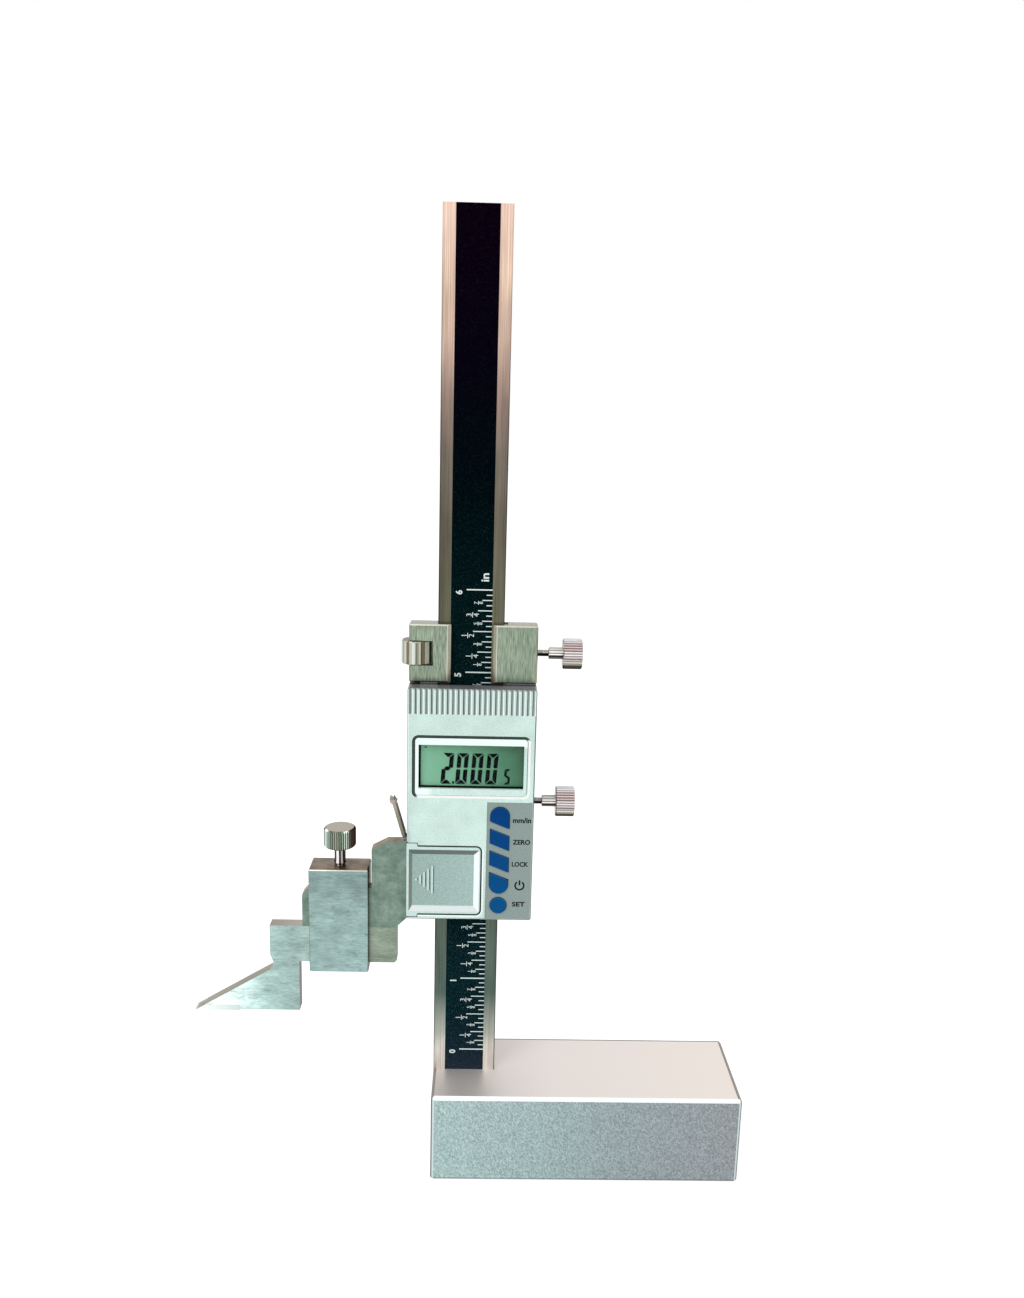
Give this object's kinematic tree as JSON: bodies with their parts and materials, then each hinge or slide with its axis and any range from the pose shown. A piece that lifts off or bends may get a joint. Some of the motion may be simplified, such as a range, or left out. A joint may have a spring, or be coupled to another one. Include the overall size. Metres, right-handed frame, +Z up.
{
  "type": "height gauge",
  "caption": "Digital height gauge with a carbide-tipped scriber on a clamp arm, a display slider, a fine-adjust carriage and a printed scale on a beam over a block base.",
  "frame": {"origin": "centre of the base's underside, on the surface that the gauge stands on", "axes": "+Z up along the beam, -Y towards the display, -X towards the scriber"},
  "size_m": [0.1756, 0.035, 0.298],
  "materials": {
    "base_finish": "fine blasted satin chrome",
    "beam_steel": "ground along its length",
    "scale_black": "printed film, satin",
    "screw_steel": "blackened",
    "brushed_steel": "brushed upright",
    "ground_steel": "ground and hardened, faint mottling",
    "plated_steel": "nickel plated",
    "brass": "satin",
    "label_metal": "thin printed plate, bare",
    "housing_silver": "silver metallic paint, satin",
    "lens_clear": "clear, gloss",
    "black_plastic": "matt",
    "display_green": "liquid crystal panel",
    "board_green": "solder mask",
    "label_grey": "satin film",
    "key_rubber": "matt",
    "key_blue": "satin",
    "port_cover_tan": "satin",
    "carbide": "lapped"
  },
  "bodies": {
    "stand": {"base_block": "base_finish", "beam": "beam_steel", "scale_strip": "scale_black", "foot_screws": "screw_steel"},
    "slider": {"slider_frame": "brushed_steel", "slider_gib": "brass", "gib_screws": "screw_steel", "back_label": "label_metal", "display_housing": "housing_silver", "housing_screws": "screw_steel", "display_lens": "lens_clear", "display_gasket": "black_plastic", "display_panel": "display_green", "display_contacts": "black_plastic", "circuit_board": "board_green", "pickup_board": "board_green", "key_label": "label_grey", "key_mat": "key_rubber", "battery_cell": "plated_steel", "battery_contacts": "brass", "port_socket": "black_plastic", "port_hinge_pin": "screw_steel", "adjust_rod": "screw_steel"},
    "units_key": {"key_units": "key_blue"},
    "zero_key": {"key_zero": "key_blue"},
    "hold_key": {"key_hold": "key_blue"},
    "power_key": {"key_power": "key_blue"},
    "set_key": {"key_set": "key_blue"},
    "cover": {"battery_cover": "housing_silver"},
    "port_flap": {"port_cover": "port_cover_tan"},
    "slider_lock": {"slider_lock_screw": "plated_steel"},
    "carriage": {"carriage_block": "brushed_steel", "carriage_gib": "brass"},
    "carriage_lock": {"carriage_lock_screw": "plated_steel"},
    "nut": {"adjust_nut": "plated_steel"},
    "clamp": {"clamp_box": "ground_steel"},
    "thumb_screw": {"clamp_screw": "plated_steel"},
    "scriber_bar": {"scriber": "ground_steel", "carbide_tip": "carbide"}
  },
  "joints": [
    {"name": "slider_travel", "type": "slide", "parent": "stand", "child": "slider", "axis": [0, 0, 1], "range_m": [-0.0508, 0.1016]},
    {"name": "carriage_travel", "type": "slide", "parent": "slider", "child": "carriage", "axis": [0, 0, 1], "range_m": [-0.0005, 0.004]},
    {"name": "nut_turn", "type": "hinge", "parent": "carriage", "child": "nut", "pos_m": [-0.0561, -0.0005, 0.1696], "axis": [0, 0, 1], "range_deg": [-362, 2882]},
    {"name": "slider_lock_turn", "type": "hinge", "parent": "slider", "child": "slider_lock", "pos_m": [-0.01, 0, 0.1222], "axis": [1, 0, 0], "range_deg": [0, 720]},
    {"name": "carriage_lock_turn", "type": "hinge", "parent": "carriage", "child": "carriage_lock", "pos_m": [-0.01, 0, 0.1696], "axis": [1, 0, 0], "range_deg": [0, 720]},
    {"name": "clamp_slide", "type": "slide", "parent": "slider", "child": "clamp", "axis": [1, 0, 0], "range_m": [-0.006, 0.0005]},
    {"name": "thumb_screw_turn", "type": "hinge", "parent": "clamp", "child": "thumb_screw", "pos_m": [-0.0795, -0.00175, 0.11], "axis": [0, 0, 1], "range_deg": [0, 720]},
    {"name": "scriber_slide", "type": "slide", "parent": "clamp", "child": "scriber_bar", "axis": [1, 0, 0], "range_m": [-0.012, 0.003]},
    {"name": "units_key_press", "type": "slide", "parent": "slider", "child": "units_key", "axis": [0, 1, 0], "range_m": [0, 0.0004], "stiffness_N_per_m": 400},
    {"name": "zero_key_press", "type": "slide", "parent": "slider", "child": "zero_key", "axis": [0, 1, 0], "range_m": [0, 0.0004], "stiffness_N_per_m": 400},
    {"name": "hold_key_press", "type": "slide", "parent": "slider", "child": "hold_key", "axis": [0, 1, 0], "range_m": [0, 0.0004], "stiffness_N_per_m": 400},
    {"name": "power_key_press", "type": "slide", "parent": "slider", "child": "power_key", "axis": [0, 1, 0], "range_m": [0, 0.0004], "stiffness_N_per_m": 400},
    {"name": "set_key_press", "type": "slide", "parent": "slider", "child": "set_key", "axis": [0, 1, 0], "range_m": [0, 0.0004], "stiffness_N_per_m": 400},
    {"name": "cover_slide", "type": "slide", "parent": "slider", "child": "cover", "axis": [-1, 0, 0], "range_m": [0, 0.019]},
    {"name": "port_flap_turn", "type": "hinge", "parent": "slider", "child": "port_flap", "pos_m": [-0.05875, -0.0063, 0.1116], "axis": [0, -1, 0], "range_deg": [-16, 55]}
  ],
  "couplings": [
    {"joint": "nut_turn", "follows": "carriage_travel", "rad_per_m": 12566}
  ]
}
